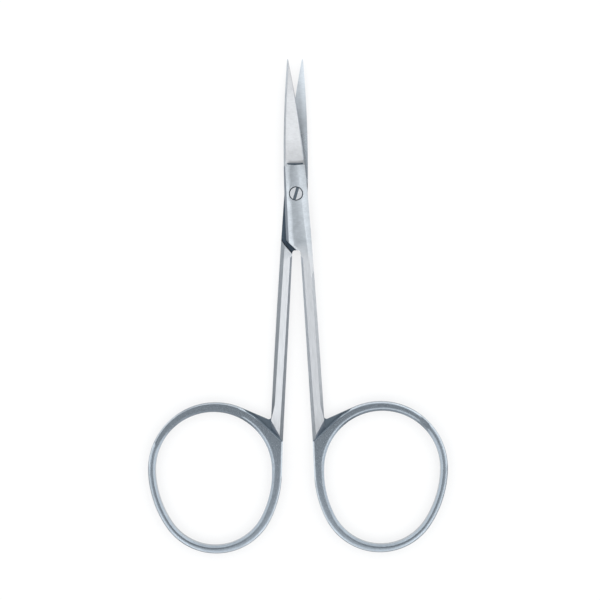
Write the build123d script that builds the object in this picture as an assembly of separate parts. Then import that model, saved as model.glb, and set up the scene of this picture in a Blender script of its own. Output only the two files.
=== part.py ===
from build123d import *
import os
from math import acos, atan2, cos, degrees, hypot, radians, sin, sqrt, tan

# Small ring-handled suture scissors: two forged halves that lap and turn on a slotted screw.
# Each half is drawn shut, with the pivot at the origin, the tips towards +Y and the outer face
# up. The plane z = 0 is the mating face where the blades ride on each other. The rear half is
# the same forging turned over about Y. The finished tool lies on its rear face, slightly open,
# with the origin under the middle of the whole.
os.makedirs("parts", exist_ok=True)

# Whole tool
rest_opening = 6.3          # angle between the halves as the tool lies, degrees
half_thickness = 1.6        # one half at the joint
handle_thickness = 2.7      # whole shank where it meets the ring
spare = 2.0                 # how far blanks and cutters pass the edges they shape

# Blade
blade_length = 30.2         # pivot to tip
joint_width = 5.2           # across the joint at the pivot
blade_bow = 0.42            # swell of each blade edge past a straight taper
tip_width = 0.24            # across the point
shoulder = 6.35             # pivot to the shoulder where the ground face begins
heel_thickness = 1.05       # blade at the shoulder, on its middle line
tip_thickness = 0.45        # blade at the point
face_slope = 6.0            # fall of the ground face towards the cutting edge, degrees
wheel_radius = 1.8          # hollow left at the shoulder by the grinding wheel
edge_angle = 72.0           # cutting bevel above the mating face, degrees
edge_land = 0.06            # flat left under the cutting bevel
spine_width = 0.45          # bevel along the back of the blade
spine_drop = 0.38
hollow_radius = 14.5        # hollow grinding of the mating face
hollow_depth = 0.14         # at the heel; it runs out before the tip
hollow_run_out = 3.2        # ungrooved length at the tip

# Joint
free_width = 2.85           # centre line to the joint's free edge at the slanted end
lap_angle = 46.8            # slanted end, degrees from square across
lap_length = 13.3           # pivot to the slanted end, along the centre line
lap_end = 0.63              # centre line to the inner end of the slant, in the crotch
stop_gap = 0.05             # slanted end to its stop when the blades are shut
stop_lean = 10.0            # lean of the stop wall, degrees
crotch_radius = 0.6         # top of the gap between the shanks
free_fall = 1.85            # width of the rounded fall from the joint's crown to its free edge
outer_fall = 2.6            # and to its outer edge, where it dies out along the shank
fall_drop = 0.5
edge_width = 0.8            # bevel along the free edge
edge_drop = 0.85
slant_width = 0.4           # bevel along the slanted end
slant_drop = 0.15
slant_fade = 1.5

# Shank
shank_inner = 0.2           # centre line to the shank's inner edge at the crotch
shank_outer = 3.16          # centre line to its outer edge at the fork
shank_bow = 0.15            # swell of the outer edge past a straight taper
inner_bevel = 0.8           # bevels along its four edges
outer_bevel = 0.62
bevel_taper = 0.4           # how much narrower the inner ones are at the crotch
bevel_start = 0.3           # where the outer bevel begins, as a part of the way to the fork
inner_fade = 1.2            # length over which an inner bevel comes in
outer_fade = 3.6            # and an outer one, which also dies out at the fork

# Finger ring
hole_radius = 13.05         # front of the finger opening, a half circle
hole_stretch = 3.8          # how far its back reaches past a full circle
hole_flank = 22.0           # radius of its long sides
ring_wall = 1.9             # metal around the opening
wall_shift = 0.3            # how much thicker the metal is beside the shank
wall_lead = 0.2             # and towards the blades
ring_height = 2.5           # thickness, front to back
rim_outside = 0.28          # bevels around the outside of the ring
rim_inside = 0.45           # and around the finger opening
rim_slope = 29.0            # both, degrees
ring_turn = -6.1            # lean of the opening, degrees
ring_gap = 0.2              # shut centre line to the outside of the ring
ring_front = 47.5           # pivot to the front of the ring

# Fork, where shank and ring part
corner_x = 0.3              # corner of shank and ring on the inner side
corner_back = 7.9           # that corner, back from the front of the ring
fork_back = 3.45            # fork on the outer side, back from the front of the ring
web_height = 1.0            # thickness of the web in the fork
web_reach = 6.4             # length of the web along the ring
web_rise = 20.5             # slope of the web's edge, degrees
web_radius = 0.55           # rounding in the fork
slope_angle = 40.0          # fall of the shank's end into the valley, degrees
slope_turn = 57.5           # direction of that end, degrees from square across

# Pivot screw
screw_head = 2.92
screw_head_height = 0.78
screw_journal = 2.0         # plain part that the front half turns on
screw_thread = 1.8          # threaded end, fast in the rear half
screw_rim = 0.1             # bevel around the head
head_clearance = 0.12       # around the head
journal_clearance = 0.03    # around the journal
seat_clearance = 0.02       # under the head
screw_recess = 0.04         # below the faces at both ends
slot_width = 0.65
slot_depth = 0.38
slot_turn = -17.0           # slot from the long axis, degrees

half_width = joint_width / 2
reach = blade_length + ring_front       # cutting blocks, longer than any cut needs
lap_slope = tan(radians(lap_angle))
crotch_y = -(lap_length - lap_end * lap_slope)
ground_tilt = degrees(atan2(heel_thickness - tip_thickness, blade_length - shoulder))
corner = Vector(corner_x, -ring_front - corner_back)
fork = Vector(shank_outer, -ring_front - fork_back)
ring_centre = Vector(ring_gap + ring_wall + hole_radius, -ring_front - ring_wall - hole_radius)
hole_centre = ring_centre + Vector(wall_shift, -wall_lead)
flank_offset = hole_flank - hole_radius
end_offset = (flank_offset**2 / (flank_offset - hole_stretch) - flank_offset + hole_stretch) / 2
blend_angle = degrees(atan2(end_offset, flank_offset))


def lap_y(x):
    """How far along the tool the slanted end of the joint lies, at a distance from the centre line."""
    return -lap_length + lap_slope * abs(x)


def outer_height(y):
    """Height of the outer face above the mating face: level at the joint, tapering along the shank."""
    fall = half_thickness - handle_thickness / 2
    return half_thickness - fall * min(0.0, y + lap_length) / (fork.Y + lap_length)


def blade_edge(side):
    """One edge of the blade in plan, from the pivot to the tip: side is 1 or -1."""
    middle = (half_width + tip_width / 2) / 2 + blade_bow
    return ThreePointArc(
        (side * half_width, 0), (side * middle, blade_length / 2), (side * tip_width / 2, blade_length)
    )


def shank_outer_edge():
    """Outer edge of the shank in plan, from the pivot to the fork."""
    middle = (half_width + shank_outer) / 2 + shank_bow
    return ThreePointArc((half_width, 0), (middle, fork.Y / 2), fork)


def blank_outline():
    """Blade, joint and shank in plan, as one forging."""
    tip = Line((tip_width / 2, blade_length), (-tip_width / 2, blade_length))
    crotch = Vector(shank_inner, crotch_y)
    inside = Polyline(
        (-half_width, 0), (-free_width, lap_y(free_width)), (-lap_end, crotch_y), crotch, corner,
        (shank_outer, corner.Y), fork,
    )
    edges = [blade_edge(1), tip, blade_edge(-1), inside, shank_outer_edge()]
    face = make_face([piece for edge in edges for piece in edge.edges()])
    return fillet(face.vertices().sort_by_distance(crotch)[0], crotch_radius)


def side_profile():
    """Outline of the half seen from the side: full height, then the taper to the ring."""
    end = corner.Y - spare
    top = [(blade_length + spare, half_thickness), (-lap_length, half_thickness), (end, outer_height(end))]
    bottom = [(y, -z) for y, z in reversed(top)]
    outline = Plane.YZ * make_face(Polyline(*top, *bottom, close=True))
    return extrude(outline, reach / 2, both=True)


def facet(start, end, inward, width, drop, run_in=0.0, run_out=0.0):
    """Cutter for a flat bevel along the edge from start to end. It takes width off the face and
    drop off the side, and rises out of the metal over run_in and run_out at its ends."""
    along = (end - start).normalized()
    out = (inward * -1 + along * inward.dot(along)).normalized()
    up = along.cross(out)
    up = up if up.Z > 0 else up * -1
    normal = (out * drop + up * width).normalized()
    lift = width * drop / hypot(width, drop)
    length = (end - start).length
    floor = [(run_in, 0), (length - run_out, 0)]
    if run_in:
        floor = [(0, lift), *floor]
    if run_out:
        floor = [*floor, (length, lift)]
    outline = Polyline(*floor, (length, spare), (0, spare), close=True)
    plane = Plane(origin=start - out * width, x_dir=along, z_dir=along.cross(normal))
    return extrude(plane * make_face(outline), spare, both=True)


def lap_recess():
    """Metal taken off behind the mating face, down to the leaning wall that stops the blades."""
    wall_foot = lap_length + stop_gap / cos(radians(lap_angle))
    depth = half_thickness + spare
    lean = depth * tan(radians(stop_lean))
    outline = Polyline((0, 0), (-lean, -depth), (reach, -depth), (reach, 0), close=True)
    across = Vector(-sin(radians(lap_angle)), cos(radians(lap_angle)))
    plane = Plane(origin=(0, -wall_foot, 0), x_dir=across, z_dir=across.cross(Vector(0, 0, 1)))
    return extrude(plane * make_face(outline), reach, both=True)


def on_ground_face(cutter):
    """Moves a cutter drawn about the shoulder, on a level face, to the sloping ground face."""
    face = Plane(origin=(0, shoulder, heel_thickness)).rotated((-ground_tilt, face_slope, 0))
    return face * Pos(0, -shoulder, 0) * cutter


def ground_face():
    """Block above the blade's ground outer face, rounded at its heel as the wheel leaves it."""
    step = half_thickness - heel_thickness
    run = sqrt(step * (2 * wheel_radius - step))
    block = Box(joint_width * 2, reach, spare * 2, align=(Align.CENTER, Align.MIN, Align.MIN))
    block = Pos(0, shoulder + run - wheel_radius, 0) * block
    heel = block.edges().filter_by(Axis.X).sort_by(Axis.Y)[:2].sort_by(Axis.Z)[0]
    return on_ground_face(fillet(heel, wheel_radius))


def edge_cone(side, outline):
    """Turns an outline of (distance out from the blade's edge, height) along that curved edge."""
    curve = blade_edge(side)
    centre = curve.arc_center
    points = [(curve.radius + out, up) for out, up in outline]
    plane = Plane(origin=centre, x_dir=(side, 0, 0), z_dir=(0, -side, 0))
    section = plane * make_face(Polyline(*points, close=True))
    first = degrees(atan2(shoulder - centre.Y, curve.radius))
    last = degrees(atan2(blade_length + spare - centre.Y, curve.radius))
    axis = Axis(centre, (0, 0, 1))
    return revolve(section, axis, revolution_arc=side * (last - first)).rotate(axis, side * first)


def cutting_bevel():
    """Steep bevel that brings the blade to its edge."""
    top = edge_land + spare * tan(radians(edge_angle))
    return edge_cone(1, [(0, edge_land), (-spare, top), (spare, top), (spare, edge_land)])


def spine_bevel():
    """Bevel along the back of the blade, from its ground face."""
    rise = spare * spine_drop / spine_width
    outline = [(spare, -spine_drop - rise), (spare, rise), (-spine_width - spare, rise)]
    return on_ground_face(edge_cone(-1, outline))


def blade_hollow():
    """Shallow hollow along the mating face, which leaves the edges to do the cutting."""
    length = blade_length - hollow_run_out - shoulder
    roll = Cylinder(hollow_radius, reach, align=(Align.CENTER, Align.CENTER, Align.MIN)).rotate(Axis.X, -90)
    roll = Pos(0, 0, hollow_depth - hollow_radius) * roll
    roll = roll.rotate(Axis.X, -degrees(atan2(hollow_depth, length)))
    return Pos(0, shoulder, 0) * roll


def rounded_fall(side, start, end, width):
    """Cutter that rounds the joint's face down towards the edge from start to end, on side 1 or -1."""
    radius = (width**2 + fall_drop**2) / (2 * fall_drop)
    section = [
        CenterArc((-width, -radius), radius, 0, 90).edge(),
        *Polyline((-width, 0), (-width, spare), (radius, spare), (radius - width, -radius)).edges(),
    ]
    plane = Plane(origin=start, x_dir=(side, 0, 0), z_dir=(end - start) * side)
    return extrude(plane * make_face(section), side * (end - start).length)


def joint_shaping():
    """What is taken off around the crown of the joint: at its free edge, slanted end and outer edge."""
    free_end = Vector(-free_width, lap_y(free_width), half_thickness)
    slant_end = Vector(-lap_end, crotch_y, half_thickness)
    past = (slant_end - free_end).normalized() * spare / 2
    square = Vector(sin(radians(lap_angle)), cos(radians(lap_angle)))
    heel = Vector(-half_width, shoulder + spare, half_thickness)
    low_end = free_end + (free_end - heel).normalized() * spare
    outer_start = Vector(half_width, shoulder + spare, half_thickness)
    outer_end = Vector(shank_outer, fork.Y, half_thickness + fall_drop)
    return [
        rounded_fall(-1, heel, low_end, free_fall),
        rounded_fall(1, outer_start, outer_end, outer_fall),
        facet(heel, low_end, Vector(1, 0), edge_width, edge_drop),
        facet(free_end - past, slant_end + past, square, slant_width, slant_drop, run_out=slant_fade),
    ]


def shank_facets():
    """Bevels along the four long edges of the shank."""
    start = shank_outer_edge() @ bevel_start
    inner_high = Vector(shank_inner - bevel_taper, crotch_y - crotch_radius, outer_height(crotch_y))
    inner_low = Vector(corner.X, corner.Y, outer_height(corner.Y))
    outer_high = Vector(start.X, start.Y, half_thickness)
    outer_low = Vector(fork.X, fork.Y, outer_height(fork.Y))
    stop_wall = Vector(half_width, lap_y(half_width), half_thickness)
    inner = facet(inner_high, inner_low, Vector(1, 0), inner_bevel, inner_bevel, run_in=inner_fade)
    outer = facet(outer_high, outer_low, Vector(-1, 0), outer_bevel, outer_bevel, outer_fade, outer_fade)
    under = facet(stop_wall, outer_low, Vector(-1, 0), outer_bevel, outer_bevel, run_out=outer_fade)
    return [inner, outer, mirror(inner, Plane.XY), mirror(under, Plane.XY)]


def end_slopes():
    """Slopes that take the end of the shank down into the valley beside the ring."""
    along = Vector(cos(radians(slope_turn)), sin(radians(slope_turn)))
    tilt = radians(slope_angle)
    upward = Vector(along.Y * sin(tilt), -along.X * sin(tilt), cos(tilt))
    plane = Plane(origin=(corner.X, corner.Y, outer_height(corner.Y)), x_dir=along, z_dir=upward)
    block = plane * Box(reach, reach, reach / 2, align=(Align.CENTER, Align.CENTER, Align.MIN))
    return [block, mirror(block, Plane.XY)]


def bar():
    """Blade, joint and shank as one piece, before its pivot hole."""
    blank = extrude(blank_outline(), reach / 2, both=True) & side_profile()
    cutters = [lap_recess(), ground_face(), cutting_bevel(), spine_bevel(), blade_hollow()]
    for cutter in [*cutters, *joint_shaping(), *shank_facets(), *end_slopes()]:
        blank -= cutter
    return blank


def offset_point(centre, across, back):
    """Point across and behind the middle of an opening, which leans with the ring."""
    return centre + Vector(across, -back).rotate(Axis.Z, ring_turn)


def egg(centre, grow, high=180, low=180):
    """Edges of the finger opening, grown by a wall: a half circle towards the blades, two long
    flanks and a rounder end, each touching the next. The near side is left open from direction
    high to direction low."""
    arcs = [
        (centre, hole_radius, 0, high),
        (offset_point(centre, flank_offset, 0), hole_flank, low, 180 + blend_angle),
        (offset_point(centre, 0, end_offset), hole_radius + hole_stretch - end_offset,
         180 + blend_angle, 360 - blend_angle),
        (offset_point(centre, -flank_offset, 0), hole_flank, -blend_angle, 0),
    ]
    return [
        CenterArc(middle, radius + grow, start + ring_turn, end - start).edge()
        for middle, radius, start, end in arcs
    ]


def touch(middle, radius, side):
    """Direction in which a line from the shank's corner touches an arc of the ring."""
    away = corner - middle
    direction = degrees(atan2(away.Y, away.X) + side * acos(radius / away.length))
    return direction % 360 - ring_turn


def ring_outline():
    """Outside of the ring, joined to the shank's inner corner by two tangent lines."""
    flank = offset_point(ring_centre, flank_offset, 0)
    high = touch(ring_centre, hole_radius + ring_wall, -1)
    low = touch(flank, hole_flank + ring_wall, 1)
    edges = egg(ring_centre, ring_wall, high, low)
    lines = Polyline(edges[0] @ 1, corner, edges[1] @ 0)
    return make_face([*edges, *lines.edges()])


def ring():
    """Finger ring with bevelled rims."""
    band = extrude(ring_outline() - make_face(egg(hole_centre, 0)), ring_height / 2, both=True)
    fall = tan(radians(rim_slope))
    for end in (0, -1):
        side = band.faces().sort_by(Axis.Z)[end]
        band = chamfer(side.outer_wire().edges(), rim_outside, rim_outside * fall, reference=side)
        side = band.faces().sort_by(Axis.Z)[end]
        band = chamfer(side.inner_wires()[0].edges(), rim_inside, rim_inside * fall, reference=side)
    return band


def web():
    """Thin web that fills the fork between the shank's outer edge and the ring."""
    up_shank = (shank_outer_edge() % 1) * -spare
    tip = fork + Vector(web_reach, web_reach * tan(radians(web_rise)))
    inside = corner + Vector(spare, spare) / 2
    face = make_face(Polyline(
        fork + up_shank, fork, tip, tip - Vector(0, ring_wall), (shank_outer, corner.Y),
        inside, (inside.X, fork.Y), close=True
    ))
    return extrude(fillet(face.vertices().sort_by_distance(fork)[0], web_radius), web_height / 2, both=True)


def half():
    """One forged half without its pivot hole."""
    return bar() + ring() + web()


def disc(diameter, low, high):
    """Round step on the pivot's axis between two heights."""
    return Pos(0, 0, low) * Cylinder(diameter / 2, high - low, align=(Align.CENTER, Align.CENTER, Align.MIN))


def front_half():
    """The half on top, bored for the screw's journal and sunk for its head."""
    bore = disc(screw_journal + 2 * journal_clearance, -spare, spare)
    sink = disc(screw_head + 2 * head_clearance, half_thickness - screw_recess - screw_head_height, spare)
    return half() - bore - sink


def rear_half():
    """The half beneath, turned over and tapped for the screw."""
    return half().rotate(Axis.Y, 180) - disc(screw_thread, -spare, spare)


def pivot_screw():
    """Cheese-headed screw: head, journal in the front half and threaded end in the rear half."""
    top = half_thickness - screw_recess
    seat = top - screw_head_height + seat_clearance
    head = disc(screw_head, seat, top)
    head = chamfer(head.edges().filter_by(GeomType.CIRCLE).sort_by(Axis.Z)[-1], screw_rim)
    slot = Pos(0, 0, top) * Rot(0, 0, slot_turn) * Box(slot_width, screw_head * 2, slot_depth * 2)
    return head - slot + disc(screw_journal, 0, seat) + disc(screw_thread, screw_recess - half_thickness, 0)


def main():
    """Opens the halves, moves the tool so that its origin is under its middle, and writes the pieces."""
    parts = {
        "front_half": front_half().rotate(Axis.Z, rest_opening / 2),
        "rear_half": rear_half().rotate(Axis.Z, -rest_opening / 2),
        "pivot_screw": pivot_screw(),
    }
    box = parts["front_half"].bounding_box().add(parts["rear_half"].bounding_box())
    middle = box.center()
    for name, solid in parts.items():
        export_step(Pos(-middle.X, -middle.Y, -box.min.Z) * solid, f"parts/{name}.step")
    print("pivot at", -middle.X, -middle.Y, "mating face at", -box.min.Z)


main()
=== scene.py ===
import math

import bmesh
import bpy
from mathutils import Matrix, Vector


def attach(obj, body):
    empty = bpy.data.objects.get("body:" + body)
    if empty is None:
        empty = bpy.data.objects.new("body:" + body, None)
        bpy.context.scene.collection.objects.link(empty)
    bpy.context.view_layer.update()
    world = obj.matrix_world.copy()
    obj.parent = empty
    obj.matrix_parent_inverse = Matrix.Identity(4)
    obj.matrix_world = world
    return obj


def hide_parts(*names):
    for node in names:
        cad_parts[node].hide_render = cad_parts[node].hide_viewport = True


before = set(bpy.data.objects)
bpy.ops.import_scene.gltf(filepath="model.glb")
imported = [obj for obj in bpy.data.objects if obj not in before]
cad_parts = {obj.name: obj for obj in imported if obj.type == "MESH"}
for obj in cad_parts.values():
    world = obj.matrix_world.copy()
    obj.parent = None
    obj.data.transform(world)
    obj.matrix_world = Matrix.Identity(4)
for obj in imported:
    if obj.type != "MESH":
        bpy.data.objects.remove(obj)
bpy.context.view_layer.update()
MM = 0.001

# Lengths are in millimetres and angles in degrees. Places on a half are those of the half as it is
# drawn: shut, with the pivot at the origin, the mating face at height 0, the outer face up and the
# tip forward, which is +Y. Side 1 is the front half and side -1 the rear half, turned over.
THICKNESS = 1.6             # one half at the joint
PIVOT_Y = 25.05             # pivot, forward of the middle of the tool as it lies
PIVOT_Z = THICKNESS         # mating faces above the table
REST_OPENING = 6.3          # angle between the halves as the tool lies
SHOULDER = 6.35             # pivot to the shoulder where the ground blade begins
BLADE_LENGTH = 30.2         # pivot to tip
BACK_X = 2.9                # back of the blade beside the pivot
BACK_RUN = 0.1              # how far it comes in for each millimetre forward
LAP_ANGLE = 46.8            # slanted end of the joint, from square across
LAP_END = 13.4              # pivot back to the slanted end of the joint
CORNER_X, CORNER_Y = 0.3, -55.4     # corner of shank and ring
SLOPE_TURN = 57.5           # direction of the slope that ends the shank, from square across
RING_X, RING_Y = 16.5, -64.0        # middle of the finger opening
RING_FACE = 1.25            # middle of the ring to its flat faces
WEB_TOP = 0.5               # middle of the ring to the faces of the web in the fork
SCREW_SINK = 1.75           # pivot to just outside the screw's counterbore
SINK_FLOOR = 1.3            # the floor of the counterbore lies below this
MATING_BAND = 0.3           # the inner face, hollow and all, lies within this of height 0
SHANK_SIDE = 3.4            # the shank keeps within this, sideways
SLOPE_SIDE = 5.0            # so does the slope that ends it, within this
FORK_SIDE = 9.0             # and the ring's rim in the fork, within this
SCREW_SHADE_DEPTHS = 0.02, 0.6      # depths below its top between which the screw has painted shade

# Polishing leaves the flat of the joint a barrel, with its crest along the tool
CREST_X = -0.68             # crest, beside the pivot
CREST_RUN = -0.065          # its sideways run for each millimetre forward
BARREL_HALF = 1.6           # crest to where the rounded side begins
BARREL_DROP = 0.11          # fall over that width on side 1 of the crest
INNER_SHARE = 0.5           # part of that fall on the other side
BARREL_FADE = 1.4           # width over which the barrel dies away in the rounded side
BARREL_START, BARREL_END = -9.0, -13.3      # where it dies away towards the shank
BARREL_STRIPS, BARREL_ROWS = 4, 3           # strips beside the crest, rows where it dies away
OUTER_SIDE = 0.9            # the barrel moves what lies above this
HEEL_HEIGHT = 1.09          # mating face to the ground blade at the shoulder
HEEL_FALL = 0.1             # its fall for each millimetre sideways
HEEL_REACH = 1.5            # the wall of the shoulder ends within this of it

# The joint's face rounds down to an edge on each side: from, to, width of the round
ROUNDED = {-1: (Vector((-2.6, 8.35, 1.6)), Vector((-2.85, -10.265, 1.6)), 1.85),
           1: (Vector((2.6, 8.35, 1.6)), Vector((3.16, -50.95, 2.1)), 2.6)}
ROUND_DROP = 0.5            # fall of the round over its width
ROUND_END = -20.0           # the even net reaches back to this
ROUND_STRIPS = 8            # strips of the net across the round
ROUND_ROWS = 11             # cuts that divide its length
FIRST_ROW, ROW_LENGTH = 4.4, 2.0    # the first of these, and the way to the next

# Polishing leaves the flats of the rings slightly domed
DOME_WIDTH = 0.4
DOME_RISE = 0.07

# Eased edges: width, and the smallest angle that counts as an edge
HALF_EASE = 0.06, 19
SCREW_EASE = 0.03, 25
WELD = 0.0005               # points of the source's mesh nearer than this are one
FLAT = 0.3                  # faces of the source's mesh within this angle are one

# Colours of the steel
BLADE_TONE = (0.655, 0.665, 0.68)
BACK_TONE = (0.54, 0.57, 0.60)
HOLLOW_TONE = (0.66, 0.71, 0.758)
# Painted shade in the recess of the lap, beyond the pivot
RECESS_SHADE_TONE = (0.075, 0.10, 0.13, 1)
JOINT_TONE = (0.52, 0.56, 0.595)
# Painted shade on the steep free edge of the joint and the slope that ends the shank
EDGE_SHADE_TONE = (0.36, 0.40, 0.45)
# The ring is polished, and its tone, darker than the blade's, is painted shade; its rim's lighter
# tone is a painted highlight
RING_TONE_WITH_PAINTED_SHADE = (0.33, 0.375, 0.42)
RIM_PAINTED_HIGHLIGHT_TONE = (0.52, 0.57, 0.62)
# Painted shade on the fork's web and on the ring's rim beside it
FORK_SHADE_TONE = (0.12, 0.15, 0.18)
# Painted shade on the wall of the shoulder and in the screw's counterbore
CREVICE_SHADE_TONE = (0.09, 0.12, 0.15)
SCREW_TONE = (0.70, 0.72, 0.74)
# Painted shade in the screw's slot and on the side of its head
SLOT_SHADE_TONE = (0.14, 0.17, 0.20)
# The two shanks take the light differently, so each half has tones of its own: painted light
# and shade
SHANK_PAINTED_LIGHT_TONE = {1: (0.58, 0.595, 0.615), -1: (0.70, 0.715, 0.735)}
OUTER_BEVEL_PAINTED_LIGHT_TONE = {1: (0.64, 0.67, 0.70), -1: (0.36, 0.39, 0.42)}
INNER_BEVEL_PAINTED_LIGHT_TONE = {1: (0.70, 0.73, 0.76), -1: (0.46, 0.49, 0.52)}
GRAIN = 7.0                 # grinding lines to the millimetre, about
DRAWN_OUT = 0.06            # part of that along a line
DRAWN_OUT_ACROSS = 0.12     # the same for lines across the half, which are shorter
NOISE = 0.3, 0.7            # noise lies between these nearly everywhere

# Table, lights and camera
TABLE_WHITE = 0.96
FLOOR_GLOW = 0.7            # part of the floor's white that keeps clear of the shadow
TABLE_HALF = 1.5            # metres
LAMP_DISTANCE = 0.7         # metres
SKY_TONE = (0.90, 0.95, 1.0, 1)
SKY_LIGHT = 0.34
PICTURE_WIDTH = 134.3       # of the table, where the tool lies
PICTURE_LEVEL = 2.0         # height above the table at which the picture has that width
VIEW_X, VIEW_Y = 0.72, 1.28
VIEW_ROLL = -0.42
LENS = 100.0
SENSOR = 36.0

FINISHES = ["blade", "back", "mating", "bar", "edge", "outer_bevel", "inner_bevel", "ring", "rim",
            "fork", "crevice"]


def into_half(side):
    """Turns a place on the tool as it lies, in millimetres, into one on a half as it is drawn."""
    shut = Matrix.Rotation(math.radians(-side * REST_OPENING / 2), 4, "Z")
    over = Matrix.Diagonal((side, 1, side, 1))
    return over @ shut @ Matrix.Translation((0, -PIVOT_Y, -PIVOT_Z))


class Finish:
    """One material, with short ways to add and join its nodes."""

    def __init__(self, name):
        self.material = bpy.data.materials.new(name)
        self.material.use_nodes = True
        self.tree = self.material.node_tree
        self.shader = self.tree.nodes["Principled BSDF"]

    def add(self, kind, inputs=None, **settings):
        node = self.tree.nodes.new(kind)
        for key, value in settings.items():
            setattr(node, key, value)
        for key, value in (inputs or {}).items():
            self.join(value, node.inputs[key])
        return node

    def join(self, value, socket):
        if isinstance(value, bpy.types.NodeSocket):
            self.tree.links.new(value, socket)
        else:
            socket.default_value = value

    def set(self, **values):
        """Joins values to the shader, named as its sockets are, with _ for each space."""
        for key, value in values.items():
            self.join(value, self.shader.inputs[key.replace("_", " ")])

    def place_on(self, side):
        """Place on one half in millimetres, shut but not turned over."""
        raw = self.add("ShaderNodeTexCoord").outputs["Object"]
        turn = -side * math.radians(REST_OPENING / 2)
        moved = self.add("ShaderNodeMapping", {
            "Vector": raw, "Scale": (1 / MM,) * 3, "Location": (0, -PIVOT_Y, -PIVOT_Z)})
        turned = self.add("ShaderNodeMapping", {
            "Vector": moved.outputs["Vector"], "Rotation": (0, 0, turn)})
        return turned.outputs["Vector"]

    def axis(self, place, letter):
        return self.add("ShaderNodeSeparateXYZ", {"Vector": place}).outputs[letter]

    def maths(self, operation, *values):
        node = self.add("ShaderNodeMath", dict(enumerate(values)), operation=operation)
        return node.outputs["Value"]

    def ramp(self, value, start, end, low, high):
        """low below start, high above end, an even change between."""
        node = self.add("ShaderNodeMapRange", {
            "Value": value, "From Min": start, "From Max": end, "To Min": low, "To Max": high})
        return node.outputs["Result"]

    def blend(self, factor, low, high):
        """Mix of two colours."""
        node = self.add("ShaderNodeMix", data_type="RGBA")
        self.join(factor, node.inputs["Factor"])
        self.join(low, node.inputs["A"])
        self.join(high, node.inputs["B"])
        return node.outputs["Result"]

    def shade(self, tone, *parts):
        """A tone made lighter or darker by the sum of the parts, each a share of the tone."""
        total = 1.0
        for part in parts:
            total = self.maths("ADD", total, part)
        node = self.add("ShaderNodeVectorMath", {0: tone, "Scale": total}, operation="SCALE")
        return node.outputs["Vector"]

    def noise(self, place, scale, detail=3.0, roughness=0.55):
        node = self.add("ShaderNodeTexNoise", {
            "Vector": place, "Scale": scale, "Detail": detail, "Roughness": roughness})
        return node.outputs["Fac"]

    def lines(self, place, stretch):
        """Fine lines: noise drawn out by the stretch, its fineness along each axis."""
        node = self.add("ShaderNodeMapping", {"Vector": place, "Scale": stretch})
        return self.noise(node.outputs["Vector"], 1.0)


def steel(name, side, tone, roughness, grain="along", depth=0.003, polish=0.05, mottle=0.06,
          streak=0.06):
    """Stainless steel with fine grinding lines along or across the half, and a slight unevenness
    of tone. depth is that of the lines, polish how much they change the gloss, mottle and streak
    how much the clouds and the lines change the tone. The finish keeps its place and its tone."""
    finish = Finish(name)
    finish.place = finish.place_on(side)
    stretch = {"along": (GRAIN, GRAIN * DRAWN_OUT, GRAIN),
               "across": (GRAIN * DRAWN_OUT_ACROSS, GRAIN, GRAIN),
               "none": (GRAIN,) * 3}[grain]
    lines = finish.lines(finish.place, stretch)
    clouds = finish.noise(finish.place, 0.8, 4.0, 0.65)
    finish.tone = finish.shade(tone, finish.ramp(clouds, *NOISE, -mottle, mottle),
                               finish.ramp(lines, *NOISE, -streak, streak))
    bump = finish.add("ShaderNodeBump", {"Height": lines, "Distance": depth * MM, "Strength": 0.6})
    finish.set(Base_Color=finish.tone, Metallic=1.0, Normal=bump.outputs["Normal"],
               Roughness=finish.ramp(lines, *NOISE, roughness - polish, roughness + polish))
    return finish


def blade_steel(name, side):
    """Ground outer face of the blade, cross-brushed, a little darker towards the shoulder and at
    the tip, with a band of painted shade just above the wall of the shoulder."""
    finish = steel(name, side, BLADE_TONE, 0.46, "across", 0.004)
    along = finish.axis(finish.place, "Y")
    heel = finish.ramp(along, SHOULDER, SHOULDER + 6, -0.22, 0.03)
    tip = finish.ramp(along, BLADE_LENGTH - 10, BLADE_LENGTH - 4, 0.0, -0.12)
    # Painted shade in a bowed band just above the shoulder's wall, fading out towards the cutting
    # edge
    aside = finish.maths("MULTIPLY_ADD", finish.axis(finish.place, "X"), side, -0.3)
    bow = finish.maths("POWER", aside, 2.0)
    bowed = finish.maths("MULTIPLY_ADD", bow, -0.05, along)
    darkest_shade = finish.ramp(aside, -1.75, -1.2, 0.0, -0.3)
    shoulder_shade = finish.ramp(bowed, SHOULDER + 0.75, SHOULDER + 1.15, darkest_shade, 0.0)
    finish.set(Base_Color=finish.shade(finish.tone, heel, tip, shoulder_shade))
    return finish.material


def back_steel(name, side):
    """Back of the blade, ground along its length and brighter towards the tip."""
    finish = steel(name, side, BACK_TONE, 0.38, "along", 0.002)
    along = finish.axis(finish.place, "Y")
    tip = finish.ramp(along, BLADE_LENGTH - 14, BLADE_LENGTH - 4, 0.0, 0.3)
    finish.set(Base_Color=finish.shade(finish.tone, tip))
    return finish.material


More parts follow.
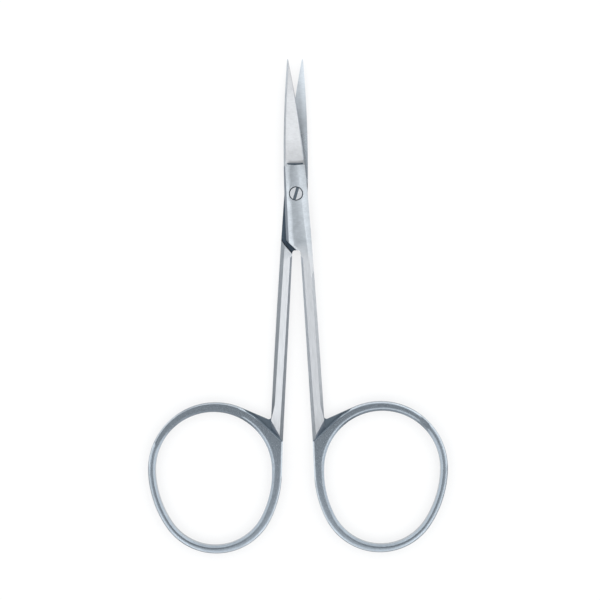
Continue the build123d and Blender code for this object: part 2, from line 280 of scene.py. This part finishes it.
def mating_steel(name, side):
    """The inner face: hollow-ground along the blade and polished near the joint, with a painted
    highlight along the back of the blade, painted shade towards the other blade and the joint, and
    painted shade in the recess beyond the pivot, which is rougher there and kept clear round it."""
    finish = steel(name, side, HOLLOW_TONE, 0.3, "across", 0.002)
    along = finish.axis(finish.place, "Y")
    # Painted highlight along the back of the blade, where the hollow runs out, and painted shade
    # beside it towards the other blade and towards the joint
    back = finish.maths("MULTIPLY_ADD", along, -BACK_RUN, BACK_X)
    from_back = finish.maths("MULTIPLY_ADD", finish.axis(finish.place, "X"), side, back)
    back_highlight = finish.ramp(along, 11.0, 16.0, 0.6, 0.12)
    hollow = finish.shade(finish.tone, finish.ramp(from_back, 0.0, 1.0, back_highlight, -0.10),
                          finish.ramp(along, 12.0, 25.0, -0.36, -0.06))
    # Painted shade in the recess beyond the pivot, with an uneven edge round the clear patch, and a
    # rougher finish there
    level = finish.add("ShaderNodeVectorMath", {0: finish.place, 1: (1, 1, 0)},
                       operation="MULTIPLY").outputs["Vector"]
    away = finish.add("ShaderNodeVectorMath", {0: level}, operation="LENGTH").outputs["Value"]
    edge = finish.maths("ADD", away, finish.noise(finish.place, 1.4))
    scale = finish.maths("MULTIPLY", finish.ramp(edge, 2.7, 3.5, 0.0, 1.0),
                         finish.ramp(along, 4.0, 2.0, 0.0, 1.0))
    ground = finish.ramp(along, SHOULDER - 2, BLADE_LENGTH - 4, 0.14, 0.46)
    finish.set(Base_Color=finish.blend(scale, hollow, RECESS_SHADE_TONE),
               Roughness=finish.maths("ADD", ground, finish.ramp(scale, 0.0, 1.0, 0.0, 0.45)))
    return finish.material


def bar_steel(name, side):
    """Outer face of joint and shank: the joint's crown brushed across and polished, with painted
    shade on one rounded side and towards the shoulder, the shank satin. The finish changes over a
    short way below the lap."""
    finish = steel(name, side, JOINT_TONE, 0.38, "across", 0.004, mottle=0.10, streak=0.08)
    along = finish.axis(finish.place, "Y")
    patch = finish.ramp(finish.noise(finish.place, 0.6), *NOISE, -1.0, 1.0)
    satin = finish.ramp(finish.maths("ADD", along, patch), -10.5, -15.5, 0.0, 1.0)
    lines = finish.lines(finish.place, (8.0, 0.3, 8.0))
    # Each half's shank tone holds painted light and shade
    shank = finish.shade(SHANK_PAINTED_LIGHT_TONE[side], finish.ramp(lines, 0.25, 0.75, -0.1, 0.1),
                         finish.ramp(along, CORNER_Y + 7, CORNER_Y + 1, 0.0, -0.25))
    # Painted shade: darker over the rounded side at +x, and towards the shoulder
    crown = finish.shade(finish.tone,
                         finish.ramp(finish.axis(finish.place, "X"), 1.2, 2.8, 0.0, -0.2),
                         finish.ramp(along, 0.0, SHOULDER, 0.0, -0.2))
    finish.set(Base_Color=finish.blend(satin, crown, shank),
               Roughness=finish.ramp(satin, 0, 1, 0.36, 0.5))
    return finish.material


def bevel_steel(name, side, tone):
    """A bevel of the shank: satin by the joint, darker towards the ring."""
    finish = steel(name, side, tone, 0.40)
    along = finish.axis(finish.place, "Y")
    darker = finish.ramp(along, -LAP_END, CORNER_Y, 0.15, -0.15)
    finish.set(Base_Color=finish.shade(finish.tone, darker))
    return finish.material


def half_finishes(side):
    """The finishes of one half, in the order of FINISHES."""
    half = "front" if side > 0 else "rear"
    return [
        blade_steel(half + "_ground_blade", side),
        back_steel(half + "_blade_back", side),
        mating_steel(half + "_hollow_ground_face", side),
        bar_steel(half + "_joint_and_shank", side),
        steel(half + "_free_edge_painted_shade", side, EDGE_SHADE_TONE, 0.34).material,
        # Each half's bevel tones hold painted light and shade
        bevel_steel(half + "_outer_bevel", side, OUTER_BEVEL_PAINTED_LIGHT_TONE[side]),
        bevel_steel(half + "_inner_bevel", side, INNER_BEVEL_PAINTED_LIGHT_TONE[side]),
        steel(half + "_polished_ring_painted_shade", side, RING_TONE_WITH_PAINTED_SHADE, 0.25, "none", 0.001, 0.03).material,
        steel(half + "_ring_rim_painted_highlight", side, RIM_PAINTED_HIGHLIGHT_TONE, 0.28, "none", 0.001, 0.03).material,
        steel(half + "_painted_fork_shade", side, FORK_SHADE_TONE, 0.40, "none", 0.003, 0.04).material,
        steel(half + "_painted_crevice_shade", side, CREVICE_SHADE_TONE, 0.45, "none", 0.003, 0.04).material,
    ]


def finish_of(centre, normal):
    """Which finish a face has, from its centre and the direction it faces."""
    x, y, z = centre
    level = abs(normal.z)       # 1 for a face that lies flat, 0 for one that stands upright
    lap_turn, slope_turn = math.radians(LAP_ANGLE), math.radians(SLOPE_TURN)
    lap_way = Vector((-math.sin(lap_turn), math.cos(lap_turn), 0))
    past_slope = (x - CORNER_X) * math.sin(slope_turn) - (y - CORNER_Y) * math.cos(slope_turn)
    forward_of_corner = y > CORNER_Y - 1

    # Mating face, and the wall of the recess that the other half's slanted end comes to
    inner_face = abs(z) < MATING_BAND and normal.z < -0.85
    recess_wall = z < -0.05 and normal.dot(lap_way) > 0.8
    if y > -LAP_END - 1 and (inner_face or recess_wall):
        return "mating"
    # Blade, with the steep wall at its shoulder
    if y > SHOULDER and z > 0:
        # The steep wall of the shoulder has painted shade
        if normal.y > 0.42:
            return "crevice"
        return "blade" if normal.z > 0.85 or normal.x > 0.3 else "back"
    # Counterbore of the screw, with painted shade
    if math.hypot(x, y) < SCREW_SINK and z > 0.1 and (z < SINK_FLOOR or level < 0.5):
        return "crevice"
    # Fork: its sunk web, the slope that ends the shank, and the ring's rim beside the web. The web
    # and that rim have painted shade.
    if abs(abs(z) - WEB_TOP) < 0.05 and level > 0.9:
        return "fork"
    if past_slope > 0.05 and 0.7 < level < 0.8 and x < SLOPE_SIDE and forward_of_corner:
        return "edge"
    faces_fork = normal.y > 0.2 and normal.x < 0
    if 0.8 < level < 0.93 and faces_fork and x < FORK_SIDE and forward_of_corner:
        return "fork"
    # Joint and shank
    if past_slope < 0.4 and y > CORNER_Y + 0.5 and x < SHANK_SIDE:
        if y > -LAP_END and x < 0 and z > 0 and 0.5 < normal.z < 0.8:
            return "edge"
        if y < -LAP_END and 0.3 < level < 0.8:
            return "outer_bevel" if normal.x > 0 else "inner_bevel"
        return "bar"
    # Ring, with the bevel round its outside
    to_middle = Vector((RING_X - x, RING_Y - y))
    if 0.7 < level < 0.93 and normal.xy.dot(to_middle) < 0:
        return "rim"
    return "ring"


def cut(bm, faces, across, offset):
    """Cuts some faces along the line where the place times across is offset."""
    parts = set(faces)
    for face in faces:
        parts.update(face.edges, face.verts)
    way = Vector(across)
    bmesh.ops.bisect_plane(bm, geom=list(parts), dist=1e-4,
                           plane_co=way * offset / way.length_squared, plane_no=way)


def rounded_height(side, x, y):
    """Height of the cylinder that rounds one side of the joint's face."""
    start, end, width = ROUNDED[side]
    edge = start.lerp(end, (start.y - y) / (start.y - end.y))
    inward = width - side * (edge.x - x)
    radius = (width ** 2 + ROUND_DROP ** 2) / (2 * ROUND_DROP)
    return edge.z - radius + math.sqrt(radius ** 2 - min(max(inward, 0), radius) ** 2)


def even_round(bm, side):
    """Gives one rounded side of the joint's face an even net on the same cylinder, so that it
    takes the light evenly. Its faces are marked by a finish that isn't there."""
    mark = len(FINISHES)
    start, end, width = ROUNDED[side]

    def on_round(vert):
        x, y, z = vert.co
        return side * x > 0 and y > ROUND_END and abs(rounded_height(side, x, y) - z) < 0.001

    def marked():
        return [face for face in bm.faces if face.material_index == mark]

    old = [face for face in bm.faces
           if 0.85 < face.normal.z < 0.9995 and all(on_round(vert) for vert in face.verts)]
    for face in bmesh.ops.dissolve_faces(bm, faces=old)["region"]:
        face.material_index = mark
    lean = (end.x - start.x) / (start.y - end.y)
    for step in range(1, ROUND_STRIPS):
        inward = width * (1 - step / ROUND_STRIPS)
        cut(bm, marked(), (1, lean, 0), start.x + lean * start.y - side * inward)
    for step in range(ROUND_ROWS):
        cut(bm, marked(), (0, 1, 0), FIRST_ROW - ROW_LENGTH * step)
    for vert in {vert for face in marked() for vert in face.verts}:
        vert.co.z = min(rounded_height(side, vert.co.x, vert.co.y), vert.co.z + 0.1)
    for face in marked():
        face.material_index = 0


def barrel_joint(bm):
    """Barrels the flat outer face of the joint, as polishing on a belt leaves it."""
    def flat():
        return [face for face in bm.faces
                if face.normal.z > 0.999 and face.calc_center_median().z > THICKNESS - 0.01
                and BARREL_END - 0.1 < face.calc_center_median().y < SHOULDER]
    for step in range(1 - BARREL_STRIPS, BARREL_STRIPS + 1):
        cut(bm, flat(), (1, -CREST_RUN, 0), CREST_X + step * BARREL_HALF / BARREL_STRIPS)
    for step in range(BARREL_ROWS):
        cut(bm, flat(), (0, 1, 0),
            BARREL_START + (BARREL_END - BARREL_START) * step / BARREL_ROWS)
    for vert in bm.verts:
        x, y, z = vert.co
        if z < OUTER_SIDE or not BARREL_END < y < SHOULDER + HEEL_REACH:
            continue
        away = x - CREST_X - CREST_RUN * y
        inner = min(abs(away), BARREL_HALF) / BARREL_HALF
        outer = min(max(abs(away) - BARREL_HALF, 0), BARREL_FADE) / BARREL_HALF
        drop = BARREL_DROP * (inner ** 2 + 2 * outer - outer ** 2 * BARREL_HALF / BARREL_FADE)
        share = min((y - BARREL_END) / (BARREL_START - BARREL_END), 1)
        if y > SHOULDER - 0.05:
            # The wall of the shoulder keeps its foot on the ground blade
            heel = HEEL_HEIGHT - HEEL_FALL * x
            share = max(z - heel, 0) / (THICKNESS - heel)
        vert.co.z -= drop * share * (1 if away > 0 else INNER_SHARE)


def dome_ring(bm):
    """Raises the middle of the ring's flat faces, which a polishing wheel leaves slightly domed."""
    flat = [face for face in bm.faces
            if abs(face.normal.z) > 0.999 and face.calc_center_median().y < CORNER_Y
            and abs(abs(face.calc_center_median().z) - RING_FACE) < 0.02]
    bmesh.ops.inset_region(bm, faces=flat, thickness=DOME_WIDTH, depth=DOME_RISE,
                           use_even_offset=True, use_boundary=True)


def merged_copy(node, place, weld):
    """A copy of a CAD node's mesh put in place, with its loose triangles welded and its flat
    faces made whole."""
    bm = bmesh.new()
    bm.from_mesh(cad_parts[node].data)
    bm.transform(place)
    bmesh.ops.remove_doubles(bm, verts=bm.verts, dist=weld)
    bmesh.ops.dissolve_limit(bm, angle_limit=math.radians(FLAT), verts=bm.verts, edges=bm.edges)
    return bm


def new_piece(name, bm, materials=()):
    """A piece of the scene from a finished bmesh."""
    mesh = bpy.data.meshes.new(name)
    bm.to_mesh(mesh)
    bm.free()
    for material in materials:
        mesh.materials.append(material)
    piece = bpy.data.objects.new(name, mesh)
    bpy.context.scene.collection.objects.link(piece)
    return piece


def ease_edges(piece, width, angle):
    """Small bevel on the sharp edges, and flat faces that stay flat in the light."""
    ease = piece.modifiers.new("eased_edges", "BEVEL")
    ease.width = width * MM
    ease.segments = 2
    ease.limit_method = "ANGLE"
    ease.angle_limit = math.radians(angle)
    weigh = piece.modifiers.new("flat_faces", "WEIGHTED_NORMAL")
    weigh.weight = 80


def finished_half(node, name, side):
    """A half as hand finishing leaves it, with its edges eased."""
    to_half = into_half(side) @ Matrix.Scale(1 / MM, 4)
    bm = merged_copy(node, to_half, WELD)
    bm.normal_update()
    even_round(bm, -1)
    even_round(bm, 1)
    bm.normal_update()
    barrel_joint(bm)
    dome_ring(bm)
    bm.normal_update()
    for face in bm.faces:
        face.smooth = True
        face.material_index = FINISHES.index(finish_of(face.calc_center_median(), face.normal))
    bm.transform(to_half.inverted())
    piece = new_piece(name, bm, half_finishes(side))
    ease_edges(piece, *HALF_EASE)
    return piece


def finished_screw():
    """The pivot screw with its turned head, and painted shade in its slot and on the side of its
    head.
    """
    bm = merged_copy("pivot_screw", Matrix.Identity(4), WELD * MM)
    top = max(vert.co.z for vert in bm.verts)
    for face in bm.faces:
        face.smooth = True
        below = top - face.calc_center_median().z
        face.material_index = 1 if SCREW_SHADE_DEPTHS[0] * MM < below < SCREW_SHADE_DEPTHS[1] * MM else 0
    piece = new_piece("slotted_pivot_screw", bm, [
        steel("turned_screw", 1, SCREW_TONE, 0.40, "none", 0.004).material,
        steel("painted_slot_shade", 1, SLOT_SHADE_TONE, 0.5, "none", 0.003).material])
    ease_edges(piece, *SCREW_EASE)
    return piece


def table():
    """Plain white table top that keeps the tool's soft shadow. Part of its white is its own
    light, shown only to the camera and in reflections."""
    bm = bmesh.new()
    bmesh.ops.create_grid(bm, x_segments=1, y_segments=1, size=TABLE_HALF)
    finish = Finish("white_table")
    path = finish.add("ShaderNodeLightPath")
    seen = finish.maths("MAXIMUM", path.outputs["Is Camera Ray"], path.outputs["Is Glossy Ray"])
    seen = finish.maths("MAXIMUM", seen, path.outputs["Is Transmission Ray"])
    white = (TABLE_WHITE,) * 3 + (1,)
    without_glow = (TABLE_WHITE * (1 - FLOOR_GLOW),) * 3 + (1,)
    finish.set(Base_Color=finish.blend(seen, white, without_glow),
               Roughness=1.0, Specular_IOR_Level=0.0, Emission_Color=(1, 1, 1, 1),
               Emission_Strength=finish.ramp(seen, 0.0, 1.0, 0.0, FLOOR_GLOW))
    new_piece("table_top", bm, [finish.material])


def softbox(name, tilt, turn, brightness, wide, deep):
    """Rectangular soft light aimed at the tool from an angle off straight above and a direction
    round the table. brightness is what a mirror would show of it; its sides are in metres."""
    lamp = bpy.data.lights.new(name, "AREA")
    lamp.shape = "RECTANGLE"
    lamp.size = wide
    lamp.size_y = deep
    lamp.energy = brightness * math.pi * wide * deep
    holder = bpy.data.objects.new(name, lamp)
    bpy.context.scene.collection.objects.link(holder)
    tilt, turn = math.radians(tilt), math.radians(turn)
    away = Vector((math.sin(tilt) * math.cos(turn), math.sin(tilt) * math.sin(turn),
                   math.cos(tilt)))
    holder.location = away * LAMP_DISTANCE
    holder.rotation_euler = away.to_track_quat("Z", "Y").to_euler()
    holder.visible_camera = False


def studio():
    """Soft light from all sides, with a darker patch overhead around the camera."""
    world = bpy.data.worlds.new("studio")
    bpy.context.scene.world = world
    world.use_nodes = True
    sky = world.node_tree.nodes["Background"]
    sky.inputs["Color"].default_value = SKY_TONE
    sky.inputs["Strength"].default_value = SKY_LIGHT
    softbox("right_softbox", 41, 0, 1.22, 1.2, 0.62)
    softbox("left_softbox", 41, 180, 1.15, 1.2, 0.62)
    softbox("front_softbox", 36, -90, 1.1, 0.6, 0.6)
    softbox("back_softbox", 38, 90, 0.9, 0.6, 0.6)


def camera():
    """Camera straight above, framed as the photograph is."""
    data = bpy.data.cameras.new("camera")
    data.lens = LENS
    data.sensor_width = SENSOR
    data.clip_start = 0.01
    holder = bpy.data.objects.new("camera", data)
    bpy.context.scene.collection.objects.link(holder)
    height = PICTURE_WIDTH * LENS / SENSOR + PICTURE_LEVEL
    holder.location = (VIEW_X * MM, VIEW_Y * MM, height * MM)
    holder.rotation_euler = (0, 0, math.radians(VIEW_ROLL))
    bpy.context.scene.camera = holder


def main():
    bpy.context.scene.view_settings.view_transform = "Standard"
    for node, name, side, body in (
        ("front_half", "finished_front_half", 1, "front"),
        ("rear_half", "finished_rear_half", -1, "rear"),
    ):
        piece = finished_half(node, name, side)
        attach(piece, body)
        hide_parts(node)
    screw = finished_screw()
    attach(screw, "rear")
    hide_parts("pivot_screw")
    table()
    studio()
    camera()


main()
